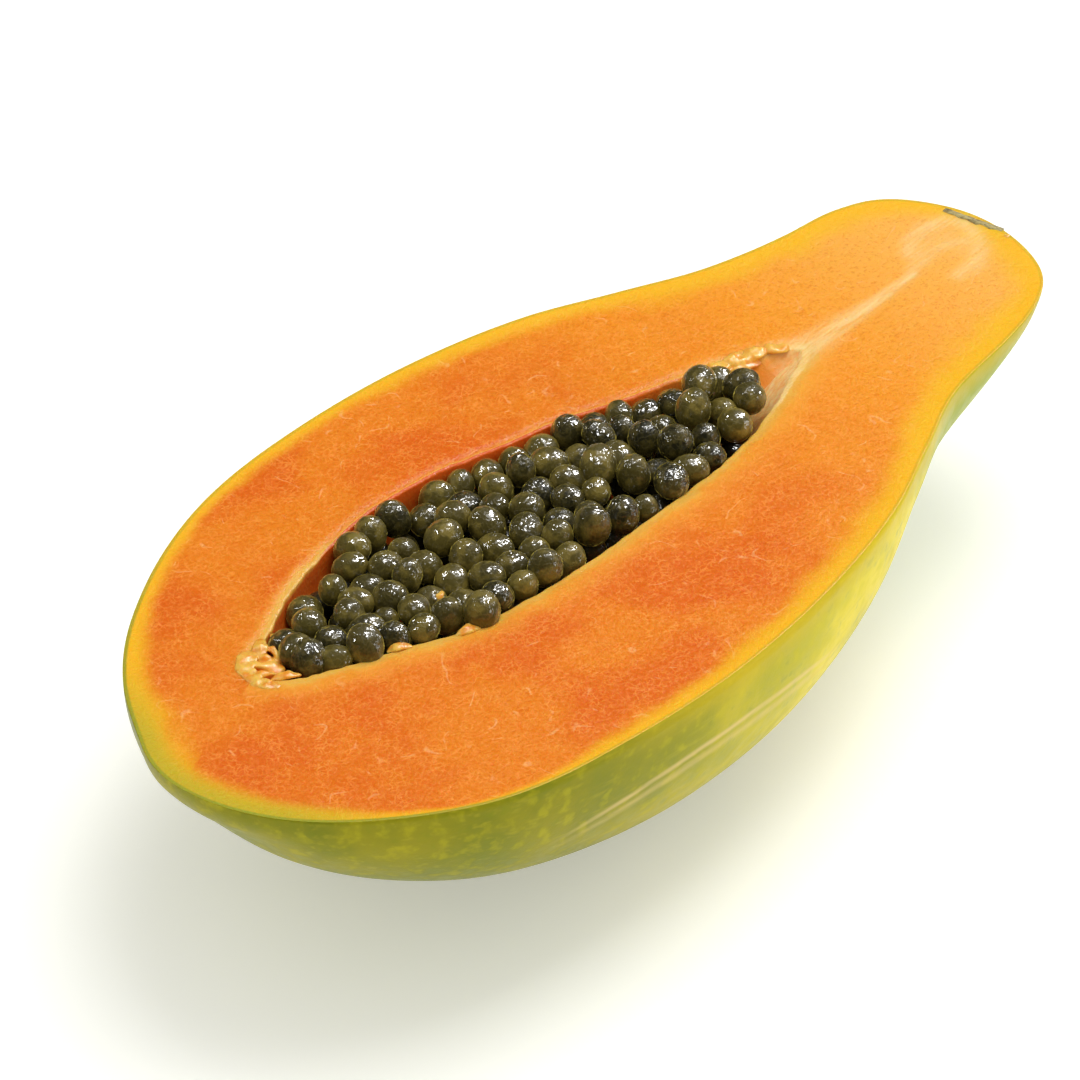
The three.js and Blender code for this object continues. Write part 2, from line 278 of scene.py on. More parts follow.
def place(points):
    """Points in the fruit's millimetres as points in the frame's metres."""
    return np.asarray(points, float) * MM + np.array(CORNER)


def seeded_random(state):
    """Numbers from 0 to 1 that look random and are the same at every run, as in the part."""
    while True:
        state = (state * 1664525 + 1013904223) % 4294967296
        yield state / 4294967296


def rough(points, size, depth=3):
    """Fractal noise of about -1 to 1 at each point, with lumps of the given size. Flat points lie at z 0."""
    return np.array([noise.fractal(Vector(p).to_3d() / size, 1.0, 2.0, depth) for p in points])


def linear(code):
    """An sRGB hex colour as the linear colour that shaders take."""
    parts = [int(code[i:i + 2], 16) / 255 for i in (1, 3, 5)]
    return tuple(c / 12.92 if c <= 0.04045 else ((c + 0.055) / 1.055) ** 2.4 for c in parts) + (1.0,)


# Settings of nodes. Inputs 6 and 7 of a Mix are its colours. Inputs 1 and 2 of a MapRange are the range that
# it reads, and 3 and 4 the one that it gives, which is 0 to 1 if not set.
COLOURS = {"data_type": "RGBA", "out": 2}
SOFT = {"interpolation_type": "SMOOTHSTEP"}
TIMES = {"operation": "MULTIPLY"}
TIMES_PLUS = {"operation": "MULTIPLY_ADD"}
MINUS = {"operation": "SUBTRACT"}
SIZE_OF = {"operation": "ABSOLUTE"}


def add(tree, kind, inputs=(), out=0, **settings):
    """Adds a node and gives one of its outputs. Inputs are values, hex colours or outputs of other nodes."""
    made = tree.nodes.new("ShaderNode" + kind)
    for key, value in settings.items():
        setattr(made, key, value)
    for key, value in dict(inputs).items():
        if isinstance(value, bpy.types.NodeSocket):
            tree.links.new(value, made.inputs[key])
        else:
            made.inputs[key].default_value = linear(value) if isinstance(value, str) else value
    return made.outputs[out] if made.outputs else made


def material(name):
    """An empty material, what adds a node to it, and the frame's coordinates in millimetres."""
    made = bpy.data.materials.new(name)
    made.use_nodes = True
    made.node_tree.nodes.clear()
    node = partial(add, made.node_tree)
    where = node("VectorMath", {0: node("TexCoord", out="Object"), "Scale": 1 / MM}, operation="SCALE")
    return made, node, where


def finish_material(node, settings):
    """The principled surface of a material and its output."""
    node("OutputMaterial", {"Surface": node("BsdfPrincipled", settings)})


def linked(name, data):
    """A new object of the scene that holds the data."""
    made = bpy.data.objects.new(name, data)
    bpy.context.collection.objects.link(made)
    return made


def object_from(name, points, faces, materials, values=None, face_materials=None):
    """A smooth-shaded object from points in the fruit's millimetres, with values for its materials."""
    mesh = bpy.data.meshes.new(name)
    mesh.from_pydata(place(points).tolist(), [], faces)
    for one in materials:
        mesh.materials.append(one)
    mesh.polygons.foreach_set("use_smooth", [True] * len(mesh.polygons))
    if face_materials is not None:
        mesh.polygons.foreach_set("material_index", face_materials)
    for key, column in (values or {}).items():
        layer = mesh.attributes.new(key, "FLOAT", "POINT")
        layer.data.foreach_set("value", np.asarray(column, np.float32))
    mesh.update()
    return linked(name, mesh)


def in_frame(made, node):
    """The piece rides on the body and hides the part's node that it stands for, if any."""
    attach(made, "root")
    if node:
        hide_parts(node)


# The half fruit: one closed surface from the keel over the skin, the cut face and the lip into the hollow.


def outline_points(x, side):
    """The fruit's edge in the plane of the cut."""
    width = np.where(side > 0, fruit_size("plus", x), fruit_size("minus", x))
    return np.stack([x, side * width], 1)


def rim_points(x, side, jitter):
    """The hollow's edge in the plane of the cut, a little ragged, and more so at both tips."""
    width = np.where(side > 0, hollow_size("plus", x), hollow_size("minus", x))
    points = np.stack([x, hollow_middle(x) + side * width], 1)
    to_start, to_end = np.abs(x - HOLLOW_START[0]) / TIP_REACH[0], np.abs(x - HOLLOW_END[0]) / TIP_REACH[1]
    swing = RIM_SWING + TIP_SWING * np.exp(-np.minimum(to_start, to_end))
    return points + normals_of(points) * (swing * jitter)[:, None]


def normals_of(ring):
    """Outward directions of a closed ring of points that runs clockwise seen from above."""
    along = np.roll(ring, -1, axis=0) - np.roll(ring, 1, axis=0)
    along /= np.maximum(np.linalg.norm(along, axis=1, keepdims=True), 1e-9)
    return np.stack([-along[:, 1], along[:, 0]], 1)


def back_rows(x, side):
    """Rows of the skin from the keel up to the cut edge."""
    power = smooth_at(FRUIT_STATIONS["x"], FRUIT_STATIONS["rounding"], x)
    width = np.abs(outline_points(x, side)[:, 1])
    depth = fruit_size("depth", x)
    rows = []
    for share in np.linspace(1.0, 0.0, BACK_ROWS + 1)[:-1]:
        turn = share * math.pi / 2
        angle = np.where(side > 0, turn, math.pi - turn)
        rib = np.cos(RIB_COUNT * (angle - RIB_PHASE)) * math.sin(turn) * RIB_HEIGHT
        rib = rib * roundness(x / FRUIT_LENGTH)
        y = side * width * math.cos(turn) ** power + rib * np.cos(angle)
        z = -depth * math.sin(turn) ** power - rib * math.sin(turn)
        rows.append(np.stack([x, y, np.maximum(z, -CUT_FACE_HEIGHT)], 1))
    return rows


def face_rows(outline, lip):
    """Rows across the cut face from the skin to the hollow's lip, closer together near both."""
    even = np.linspace(0.0, 1.0, FACE_ROWS + 1)
    shares = (1 - ROW_CROWDING) * even + ROW_CROWDING * (1 - np.cos(math.pi * even)) / 2
    return [outline + (lip - outline) * share for share in shares]


def wall_rows(x, side, rim, lip_radius):
    """Rows down the hollow's wall: a rounded lip, then the wall to the bottom."""
    power = smooth_at(HOLLOW_STATIONS["x"], HOLLOW_STATIONS["rounding"], x)
    depth = np.maximum(hollow_size("depth", x), 1e-6)
    middle = np.stack([x, hollow_middle(x)], 1)
    out = normals_of(rim)
    rows = []
    for down in lip_radius * np.array(LIP_STEPS):
        sunk = np.minimum(down, 0.5 * depth)
        curl = lip_radius * (1 - math.sqrt(1 - (1 - down / lip_radius) ** 2))
        lean = (1 - (sunk / depth) ** (2 / power)) ** (power / 2)
        at = middle + (rim - middle) * lean[:, None] + out * curl
        rows.append(np.column_stack([at, -sunk]))
    first = np.arcsin(np.clip((np.minimum(lip_radius, 0.5 * depth) / depth) ** (1 / power), 0, 1))
    for share in np.linspace(0.0, 1.0, WALL_ROWS + 1)[1:]:
        turn = first + (math.pi / 2 - first) * share
        lean = np.maximum(np.cos(turn), 0.0) ** power
        at = middle + (rim - middle) * lean[:, None]
        rows.append(np.column_stack([at, -depth * np.sin(turn) ** power]))
    return rows


def distance_to(points, line):
    """The shortest distance from each point to a line of points."""
    best = np.full(len(points), np.inf)
    for a, b in zip(line[:-1], line[1:]):
        run = b - a
        share = np.clip(((points - a) @ run) / max(run @ run, 1e-12), 0, 1)
        best = np.minimum(best, np.linalg.norm(points - a - share[:, None] * run, axis=1))
    return best


def fibre_amount(points):
    """How much each point of the cut face belongs to a pale fibre strand, from 0 to 1."""
    amount = np.zeros(len(points))
    for pale, *line in FIBRE_STRANDS:
        for a, b in zip(np.array(line[:-1]), np.array(line[1:])):
            run = b[:2] - a[:2]
            share = np.clip(((points - a[:2]) @ run) / (run @ run), 0, 1)
            away = np.linalg.norm(points - a[:2] - share[:, None] * run, axis=1)
            width = a[2] + share * (b[2] - a[2])
            amount = np.maximum(amount, pale * np.exp(-(away / width) ** 2))
    return amount


def band_amount(points, side, to_skin):
    """How yellow the flesh is under the skin, from 0 to 1, in a band that wanders a little."""
    widths = (smooth_at(BAND_WIDTHS["x"], BAND_WIDTHS[key], points[:, 0]) for key in ("plus", "minus"))
    width = np.where(side > 0, *widths)
    wander = rough(points, BAND_WAVES)
    away = to_skin * (1 + BAND_WAVE_HEIGHT * wander) - BAND_EDGE[0] * width
    share = np.clip(away / (BAND_EDGE[1] * width), 0, 1)
    return 1 - share * share * (3 - 2 * share)


def face_relief(points, to_skin, to_rim, fibre):
    """The height of the cut face: knife waves, a swell beside the hollow, a droop at its lip and grooves."""
    height = sum(tall * rough(points, size, 2) for tall, size in KNIFE_WAVES) - FACE_SUNK
    height += SWELL * np.exp(-((to_rim - SWELL_REACH) / SWELL_REACH) ** 2)
    height -= DROOP * np.exp(-(to_rim / DROOP_REACH) ** 2) + FIBRE_GROOVE * fibre
    return height * np.clip(to_skin / EDGE_FADE, 0, 1)


def joined_grid(rows, closings):
    """One surface from rings of points. In the rings named by closings, opposite points meet and close it."""
    count = len(rows[0])
    points = np.concatenate(rows)
    index = np.arange(len(points)).reshape(len(rows), count)
    mirror = (-np.arange(count)) % count
    for row in closings:
        index[row] = np.minimum(index[row], index[row][mirror])
    _, first, same = np.unique(np.round(points, 4), axis=0, return_index=True, return_inverse=True)
    index = first[np.ravel(same)][index]
    faces, ring_of = [], []
    for i in range(len(rows) - 1):
        a, b = index[i], index[i + 1]
        quads = np.stack([a, np.roll(a, -1), np.roll(b, -1), b], 1)
        for quad in quads.tolist():
            corners = [p for k, p in enumerate(quad) if p != quad[k - 1]]
            if len(set(corners)) == len(corners) and len(corners) > 2:
                faces.append(corners)
                ring_of.append(i)
    used, compact = np.unique(np.concatenate(faces), return_inverse=True)
    corner = iter(compact.tolist())
    packed = [[next(corner) for _ in face] for face in faces]
    return points[used], packed, np.array(ring_of), used


def half_fruit_mesh(settings):
    """The half fruit's object with its two materials."""
    theta = 2 * math.pi * np.arange(RING) / RING
    along = (1 - np.cos(theta)) / 2
    side = np.where(theta <= math.pi, 1.0, -1.0)
    x = FRUIT_LENGTH * along
    outline = outline_points(x, side)
    hollow_x = HOLLOW_START[0] + (HOLLOW_END[0] - HOLLOW_START[0]) * along
    bare_rim = rim_points(hollow_x, side, np.zeros(RING))
    rim = rim_points(hollow_x, side, rough(bare_rim, RIM_RAGS))
    lip_radius = settings.lip_radius
    lip = rim + normals_of(rim) * lip_radius
    back = back_rows(x, side)
    face = face_rows(outline, lip)
    wall = wall_rows(hollow_x, side, rim, lip_radius)

    flat = np.concatenate(face)
    to_skin = distance_to(flat, np.vstack([outline, outline[:1]])[::2])
    to_rim = distance_to(flat, np.vstack([lip, lip[:1]])[::2])
    fibre = fibre_amount(flat)
    face_side = np.tile(side, len(face))
    band = band_amount(flat, face_side, to_skin)
    height = face_relief(flat, to_skin, to_rim, fibre)
    raised = np.column_stack([flat, height]).reshape(len(face), RING, 3)
    lowered = [row + np.array([0, 0, 1.0]) * raised[-1, :, 2:3] * (1 + row[:, 2:3] / lip_radius).clip(0, 1)
               for row in wall]

    rows = back + list(raised) + lowered
    points, faces, ring_of, used = joined_grid(rows, (0, len(rows) - 1))
    face_rim = to_rim * np.where(face_side > 0, *RIM_STRETCH)
    face_rim += FAR_FACE_SHIFT * far_middle(flat[:, 0], face_side)
    wall_rim = np.concatenate([row[:, 2] - FAR_WALL_SHIFT * far_middle(row[:, 0], side) for row in wall])
    wall_fibre = np.concatenate([groove_fibre(row, side) for row in wall])
    blank = np.zeros(len(back) * RING)
    values = {
        "to_skin": np.concatenate([blank, to_skin, np.full(len(wall) * RING, FAR_AWAY)])[used],
        "to_rim": np.concatenate([blank + FAR_AWAY, face_rim, wall_rim])[used],
        "fibre": np.concatenate([blank, fibre, wall_fibre])[used],
        "band": np.concatenate([blank, band, np.zeros(len(wall) * RING)])[used],
    }
    skin_faces = (ring_of < len(back)).astype(np.int32)
    looks = [flesh_material(settings), skin_material(settings)]
    return object_from("papaya_half", points, faces, looks, values, skin_faces)


def groove_fibre(row, side):
    """Pale fibres in the groove: all over the side that leans towards -y, and at the tip of the other."""
    return np.clip((row[:, 0] - np.where(side > 0, *GROOVE_FIBRES)) / GROOVE_FADE, 0, 1)


def far_middle(x, side):
    """1 along the middle of the hollow's far rim, which is hardly pale, and 0 elsewhere."""
    (start, end), (in_over, out_over) = FAR_MIDDLE
    return np.clip((x - start) / in_over, 0, 1) * np.clip((end - x) / out_over, 0, 1) * (side > 0)


def flesh_material(settings):
    """Ripe papaya flesh, cut with a knife: wet, grainy and slightly see-through, so its edges glow."""
    made, node, where = material("papaya flesh, knife cut")
    along = node("SeparateXYZ", {0: where}, "X")
    to_skin, to_rim, fibre, band = (
        node("Attribute", out="Fac", attribute_name=name) for name in ("to_skin", "to_rim", "fibre", "band"))
    clouds = node("TexNoise", {"Vector": where, "Scale": 1 / FLESH_CLOUDS, "Detail": 3.0})
    patchy = node("TexNoise", {"Vector": where, "Scale": 1 / FLESH_BLOTCHES})
    grain = node("TexNoise", {"Vector": where, "Scale": 1 / FLESH_GRAIN, "Roughness": 0.6})

    # Cells with paler walls, bent out of line.
    bend = node("TexNoise", {"Vector": where, "Scale": 1 / CELL_BENDS}, "Color")
    bent = node("VectorMath", {0: bend, 1: (CELL_SHIFT,) * 3, 2: where}, **TIMES_PLUS)
    cells = node("TexVoronoi", {"Vector": bent, "Scale": 1 / FLESH_CELLS}, feature="DISTANCE_TO_EDGE")
    walls = node("MapRange", {0: cells, 1: 0.16, 2: 0.0}, **SOFT)
    clear = node("MapRange", {0: patchy, 1: 0.35, 2: 0.65, 3: 0.15}, **SOFT)
    walls = node("Math", {0: walls, 1: clear}, **TIMES)

    # Long thin fibres that the knife cut along, few and curved: where a noise crosses its middle value.
    lines = node("TexNoise", {"Vector": where, "Scale": 1 / KNIFE_LINES})
    off = node("Math", {0: node("Math", {0: lines, 1: 0.5}, **MINUS)}, **SIZE_OF)
    thread = node("Math", {0: node("MapRange", {0: off, 1: 0.009, 2: 0.002}, **SOFT),
                           1: node("MapRange", {0: patchy, 1: 0.5, 2: 0.62, 4: 0.3}, **SOFT)}, **TIMES)

    # The blossom end is greenish under the skin, and the cut skin shows as a thin line, clearest there.
    tip = node("MapRange", {0: along, 1: -78.0, 2: -91.0, 4: 0.75}, **SOFT)
    tip = node("Math", {0: tip, 1: node("MapRange", {0: to_skin, 1: 5.5, 2: 1.0}, **SOFT)}, **TIMES)
    clear = node("MapRange", {0: along, 1: -40.0, 2: -85.0, 3: 0.35, 4: 0.9}, **SOFT)
    line = node("MapRange", {0: to_skin, 1: 0.75, 2: 0.35}, **SOFT)
    line = node("Math", {0: line, 1: clear}, **TIMES)

    # Beside the hollow the flesh is pale, in a band that wanders.
    wander = node("TexNoise", {"Vector": where, "Scale": 1 / RIM_WAVES, "Detail": 3.0})
    uneven = node("Math", {0: wander, 1: -3.4, 2: to_rim}, **TIMES_PLUS)

    # The strands that ran to the stalk, threads that are broken up along their length.
    drawn = node("VectorMath", {0: where, 1: FIBRE_THREADS}, operation="DIVIDE")
    threads = node("TexNoise", {"Vector": drawn, "Scale": 1.0})
    threads = node("MapRange", {0: threads, 1: 0.3, 2: 0.65, 3: 0.45}, **SOFT)
    strand = node("Math", {0: fibre, 1: threads}, **TIMES)

    colour = node("Mix", {0: node("MapRange", {0: clouds, 1: 0.4, 2: 0.62}, **SOFT), 6: "#e67f14",
                          7: settings.flesh_deep}, **COLOURS)
    wall = node("Mix", {0: node("MapRange", {0: along, 1: 15.0, 2: 36.0}, **SOFT), 6: "#e0641a",
                        7: "#ec922c"}, **COLOURS)
    layers = (
        (node("MapRange", {0: along, 1: 0.0, 2: 60.0}, **SOFT), "#f0981f"),
        (node("MapRange", {0: along, 1: 45.0, 2: 90.0, 4: 0.75}, **SOFT), "#f8bb55"),
        (node("Math", {0: walls, 1: 0.4}, **TIMES), "#fda648"),
        (node("MapRange", {0: grain, 1: 0.5, 2: 0.78, 4: 0.35}, **SOFT), "#fba648"),
        (node("MapRange", {0: grain, 1: 0.5, 2: 0.25, 4: 0.4}, **SOFT), "#cf600f"),
        (thread, "#fdc98e"),
        (node("Math", {0: band, 1: 0.95}, **TIMES), settings.under_skin),
        (tip, "#b3a92a"),
        (line, "#93992a"),
        (node("MapRange", {0: uneven, 1: 3.2, 2: -1.6, 4: 0.9}, **SOFT), "#f0a232"),
        (node("MapRange", {0: uneven, 1: 0.0, 2: -1.8, 4: 0.85}, **SOFT), settings.rim_colour),
        (node("MapRange", {0: to_rim, 1: -0.5, 2: -1.5}, **SOFT), wall),
        (strand, "#f3cf8a"),
    )
    for share, tint in layers:
        colour = node("Mix", {0: share, 6: colour, 7: tint}, **COLOURS)

    finish_material(node, {
        "Base Color": colour,
        "Roughness": node("MapRange", {0: grain, 1: 0.3, 2: 0.7, 3: 0.28, 4: 0.46}, **SOFT),
        "Normal": node("Bump", {"Height": grain, "Strength": 0.5, "Distance": 0.3 * MM}),
        "IOR": 1.36,
        "Specular IOR Level": 0.22,
        "Subsurface Weight": 0.45,
        "Subsurface Radius": (2.5, 1.1, 0.35),
        "Subsurface Scale": MM,
    })
    return made


def skin_material(settings):
    """Papaya skin, grown: smooth and waxy, green turning yellow in soft patches, with fine pores."""
    made, node, where = material("papaya skin, waxy")
    x, y, z = (node("SeparateXYZ", {0: where}, axis) for axis in "XYZ")
    patches = node("TexNoise", {"Vector": where, "Scale": 1 / SKIN_PATCHES, "Detail": 4.0, "Roughness": 0.6})
    patches = node("MapRange", {0: patches, 1: 0.38, 2: 0.66}, **SOFT)
    mottle = node("TexNoise", {"Vector": where, "Scale": 1 / SKIN_MOTTLE, "Detail": 3.0})
    pores = node("TexNoise", {"Vector": where, "Scale": 1 / SKIN_PORES, "Detail": 1.0})
    drawn = node("VectorMath", {0: where, 1: SKIN_STREAKS}, operation="DIVIDE")
    streaks = node("TexNoise", {"Vector": drawn, "Scale": 1.0})

    # Two soft pale lines along the side, on a curve that droops to both ends: painted highlights of a strip
    # reflected in the waxy skin.
    u = node("Math", {0: x, 1: HIGHLIGHT_MIDDLE}, **MINUS)
    bow = node("Math", {0: u, 1: HIGHLIGHT_BOW, 2: HIGHLIGHT_LEAN}, **TIMES_PLUS)
    above = node("Math", {0: u, 1: bow, 2: z}, **TIMES_PLUS)
    waves = node("TexNoise", {"Vector": where, "Scale": 1 / HIGHLIGHT_WAVES})
    above = node("Math", {0: waves, 1: 1.2, 2: above}, **TIMES_PLUS)
    painted_highlights = 0.0
    for level, width, strength in PAINTED_HIGHLIGHTS:
        off = node("Math", {0: node("Math", {0: above, 1: level}, **MINUS)}, **SIZE_OF)
        near = node("MapRange", {0: off, 1: width, 2: 0.1, 4: strength}, **SOFT)
        painted_highlights = node("Math", {0: painted_highlights, 1: near}, operation="MAXIMUM")
    ends = node("Math", {0: u}, **SIZE_OF)
    fades = {0: ends, 1: 36.0, 2: 20.0}, {0: y, 1: -20.0, 2: -30.0}, {0: streaks, 1: 0.3, 2: 0.5, 3: 0.7}
    for fade in fades:
        painted_highlights = node("Math", {0: painted_highlights, 1: node("MapRange", fade, **SOFT)}, **TIMES)

    left = node("Mix", {0: patches, 6: settings.skin_green, 7: "#968f14"}, **COLOURS)
    right = node("Mix", {0: patches, 6: "#c8bc12", 7: "#e8d322"}, **COLOURS)
    ripe = node("MapRange", {0: x, 1: -55.0, 2: 12.0}, **SOFT)
    colour = node("Mix", {0: ripe, 6: left, 7: right}, **COLOURS)
    by_cut = node("Math", {0: node("MapRange", {0: z, 1: 39.0, 2: 45.0, 4: 0.7}, **SOFT),
                           1: node("MapRange", {0: x, 1: -62.0, 2: -15.0}, **SOFT)}, **TIMES)
    layers = (
        (node("MapRange", {0: mottle, 1: 0.5, 2: 0.72, 4: 0.3}, **SOFT), "#d2c21c"),
        (node("MapRange", {0: mottle, 1: 0.45, 2: 0.25, 4: 0.35}, **SOFT), "#7c880e"),
        (node("MapRange", {0: streaks, 1: 0.55, 2: 0.75, 4: 0.3}, **SOFT), "#c0b028"),
        # Painted shade: the skin turns a dull dark green towards the floor, from 24 mm down to 4 mm.
        (node("MapRange", {0: z, 1: 24.0, 2: 4.0, 4: 0.7}, **SOFT), "#646714"),
        (node("MapRange", {0: x, 1: 34.0, 2: 58.0, 4: 0.85}, **SOFT), "#8a9c1c"),
        (by_cut, "#d2b41c"),
        # Painted highlight: the two pale lines along the side.
        (painted_highlights, "#e6c684"),
    )
    for share, tint in layers:
        colour = node("Mix", {0: share, 6: colour, 7: tint}, **COLOURS)
    finish_material(node, {
        "Base Color": colour,
        "Roughness": node("MapRange", {0: mottle, 1: 0.3, 2: 0.7, 3: 0.3, 4: 0.42}, **SOFT),
        "Normal": node("Bump", {"Height": pores, "Strength": 0.16, "Distance": 0.15 * MM}),
        "IOR": 1.45,
        "Specular IOR Level": 0.12,
        "Subsurface Weight": 0.08,
        "Subsurface Radius": (1.5, 2.0, 0.4),
        "Subsurface Scale": MM,
    })
    return made


# The seeds, dark and crinkled in their wet jelly, in three layers that show between each other. The lower
# layers are painted darker, as painted shade between the seeds.


def spread_seeds(seed, count, leading):
    """The part's rule: seen from above, seeds spread until each has its place. Leading ones stay put."""
    draw = seeded_random(seed)
    seeds = [{"x": x, "y": y, "z": z, "r": r, "fixed": True} for x, y, z, r in leading]
    reach = max(HOLLOW_STATIONS["plus"])
    while len(seeds) < count:
        x = PILE_START + (PILE_END - PILE_START) * next(draw)
        aside = (2 * next(draw) - 1) * reach
        radius = SEED_RADIUS[0] + (SEED_RADIUS[1] - SEED_RADIUS[0]) * next(draw)
        lift = 2 * next(draw) - 1
        if abs(aside) <= float(hollow_size("plus", x)):
            seeds.append({"x": x, "y": hollow_middle(x) + aside, "r": radius, "lift": lift, "fixed": False})
    widths = {key: hollow_size(key, np.arange(0, 160, 0.1)) for key in ("plus", "minus")}
    for _ in range(SETTLING_STEPS):
        for i, a in enumerate(seeds):
            for b in seeds[i + 1:]:
                push_apart(a, b)
        for s in seeds:
            if not s["fixed"]:
                keep_in_mouth(s, widths)
    return seeds


def push_apart(a, b):
    dx, dy = a["x"] - b["x"], a["y"] - b["y"]
    reach = (a["r"] + b["r"]) * SEED_CROWDING
    distance = math.hypot(dx, dy)
    if distance >= reach or distance == 0:
        return
    push = SEED_PUSH * (reach - distance) / distance
    for s, way in ((a, push), (b, -push)):
        if not s["fixed"]:
            s["x"] += dx * way
            s["y"] += dy * way


def keep_in_mouth(s, widths):
    s["x"] = min(max(s["x"], PILE_START + s["r"]), PILE_END - s["r"])
    middle = hollow_middle(s["x"])
    plus, minus = (max(widths[key][round(s["x"] * 10)] - s["r"] - GAP, 0) for key in ("plus", "minus"))
    s["y"] = min(max(s["y"], middle - minus), middle + plus)


def seed_height(s, level, uneven):
    if s["fixed"]:
        return s["z"]
    aside = max(s["y"] - hollow_middle(s["x"]), 0) / max(float(hollow_size("plus", s["x"])), 1)
    return level - PILE_DROP * aside * aside + uneven * s["lift"]


def seed_layers(settings):
    """Every seed as (place, radius, turn, layer), the top layer first."""
    placed = []
    ceiling = CAD_BOX[1][2] / MM - CUT_FACE_HEIGHT
    for layer, (count, down, uneven) in enumerate(((settings.seed_count, 0.0, PILE_UNEVEN), *LOWER_LAYERS)):
        turn = seeded_random(TURN_DRAWS[layer])
        for s in spread_seeds(PLACE_DRAWS[layer], count, () if layer else LEADING_SEEDS):
            angles = [next(turn) * math.pi for _ in range(3)]
            height = min(seed_height(s, PILE_LEVEL - down, uneven), ceiling - 1.2 * s["r"] - 0.1)
            placed.append(((s["x"], s["y"], height), s["r"], angles, layer))
    return placed


def unit_ball(subdivisions):
    """The points and faces of a ball of radius 1."""
    made = bmesh.new()
    bmesh.ops.create_icosphere(made, subdivisions=subdivisions, radius=1.0)
    points = np.array([v.co[:] for v in made.verts])
    faces = np.array([[v.index for v in f.verts] for f in made.faces])
    made.free()
    return points, faces


def seed_cluster(name, placed, crinkle, subdivisions, look):
    """Seeds as one object, each a little longer one way, with soft dents and crinkles."""
    ball, ball_faces = unit_ball(subdivisions)
    points, faces, tones, depth_shade = [], [], [], []
    draw = seeded_random(TONE_DRAW)
    for i, (middle, radius, angles, layer) in enumerate(placed):
        tone, shape = next(draw), next(draw)
        stretch = np.array(SEED_STRETCH) + shape * np.array(SEED_VARIETY)
        dents = rough(ball + DENT_STEP * i, DENT_SIZE, 1)
        ripples = 1 - 2 * np.abs(rough(ball + RIPPLE_STEP * i, RIPPLE_SIZE, 2))
        local = ball * stretch * (radius * (1 + crinkle * (dents + 0.5 * ripples)))[:, None]
        turned = local @ np.array(Euler(angles, "XYZ").to_matrix()).T
        points.append(turned + np.array(middle))
        faces.append(ball_faces + i * len(ball))
        tones.append(np.full(len(ball), tone))
        # How much painted shade each seed takes: 0 on top, 0.5 and 1 in the layers below.
        depth_shade.append(np.full(len(ball), layer / 2))
    values = {"tone": np.concatenate(tones), "depth_shade": np.concatenate(depth_shade)}
    return object_from(name, np.concatenate(points), np.concatenate(faces).tolist(), [look], values)


def seed_material(settings):
    """Papaya seeds in their jelly coats, grown and wet: dark olive, with small glints and pale edges."""
    made, node, where = material("papaya seed in jelly, wet")
    tone, depth_shade = (node("Attribute", out="Fac", attribute_name=name) for name in ("tone", "depth_shade"))
    clouds = node("TexNoise", {"Vector": where, "Scale": 1 / SEED_CLOUDS, "Detail": 3.0, "Roughness": 0.65})
    blotches = node("TexNoise", {"Vector": where, "Scale": 1 / SEED_BLOTCHES, "Detail": 3.0})
    blotches = node("Math", {0: node("MapRange", {0: blotches, 1: 0.47, 2: 0.62}, **SOFT),
                             1: node("MapRange", {0: tone, 3: 0.25, 4: 0.9}, **SOFT)}, **TIMES)

    # Crinkles of the seed: thin lines where a noise crosses its middle value. Their pale colour is partly the
    # seeds' own and partly painted glints.
    crinkle = node("TexNoise", {"Vector": where, "Scale": 1 / SEED_CRINKLES, "Detail": 3.0})
    off = node("Math", {0: node("Math", {0: crinkle, 1: 0.5}, **MINUS)}, **SIZE_OF)
    veins = node("MapRange", {0: off, 1: 0.06, 2: 0.0}, **SOFT)

    colour = node("Mix", {0: node("MapRange", {0: tone, 3: 0.05, 4: 0.8}, **SOFT),
                          6: settings.seed_dark, 7: "#62561f"}, **COLOURS)
    layers = (
        (node("MapRange", {0: clouds, 1: 0.45, 2: 0.7, 4: 0.6}, **SOFT), "#4c4416"),
        (node("Math", {0: blotches, 1: 0.7}, **TIMES), "#8c7a34"),
        # Pale crinkle lines: partly the seeds' own colour and partly painted glints.
        (node("Math", {0: veins, 1: 0.1}, **TIMES), "#a39450"),
        # Painted shade: seeds of the lower layers turn near black.
        (node("MapRange", {0: depth_shade, 1: 0.0, 2: 0.6, 4: 0.85}, **SOFT), "#0a0b06"),
    )
    for share, tint in layers:
        colour = node("Mix", {0: share, 6: colour, 7: tint}, **COLOURS)
    folds = node("Math", {0: veins, 1: 0.25, 2: clouds}, **TIMES_PLUS)

    # The jelly's wet surface ripples, most on the darkest seeds.
    ripples = node("TexNoise", {"Vector": where, "Scale": 1 / JELLY_RIPPLES, "Detail": 1.5})
    crinkled = node("MapRange", {0: tone, 3: 1.0, 4: 0.45})
    finish_material(node, {
        "Base Color": colour,
        "Roughness": 0.45,
        "Normal": node("Bump", {"Height": folds, "Strength": 0.6, "Distance": 0.3 * MM}),
        "IOR": 1.36,
        "Specular IOR Level": 0.2,
        "Coat Weight": 1.0,
        "Coat Roughness": 0.04,
        "Coat IOR": 1.5,
        "Coat Normal": node("Bump", {"Height": ripples, "Strength": crinkled, "Distance": 0.9 * MM}),
        "Sheen Weight": 1.0,
        "Sheen Roughness": 0.22,
        "Sheen Tint": "#d0bc58",
    })
    return made


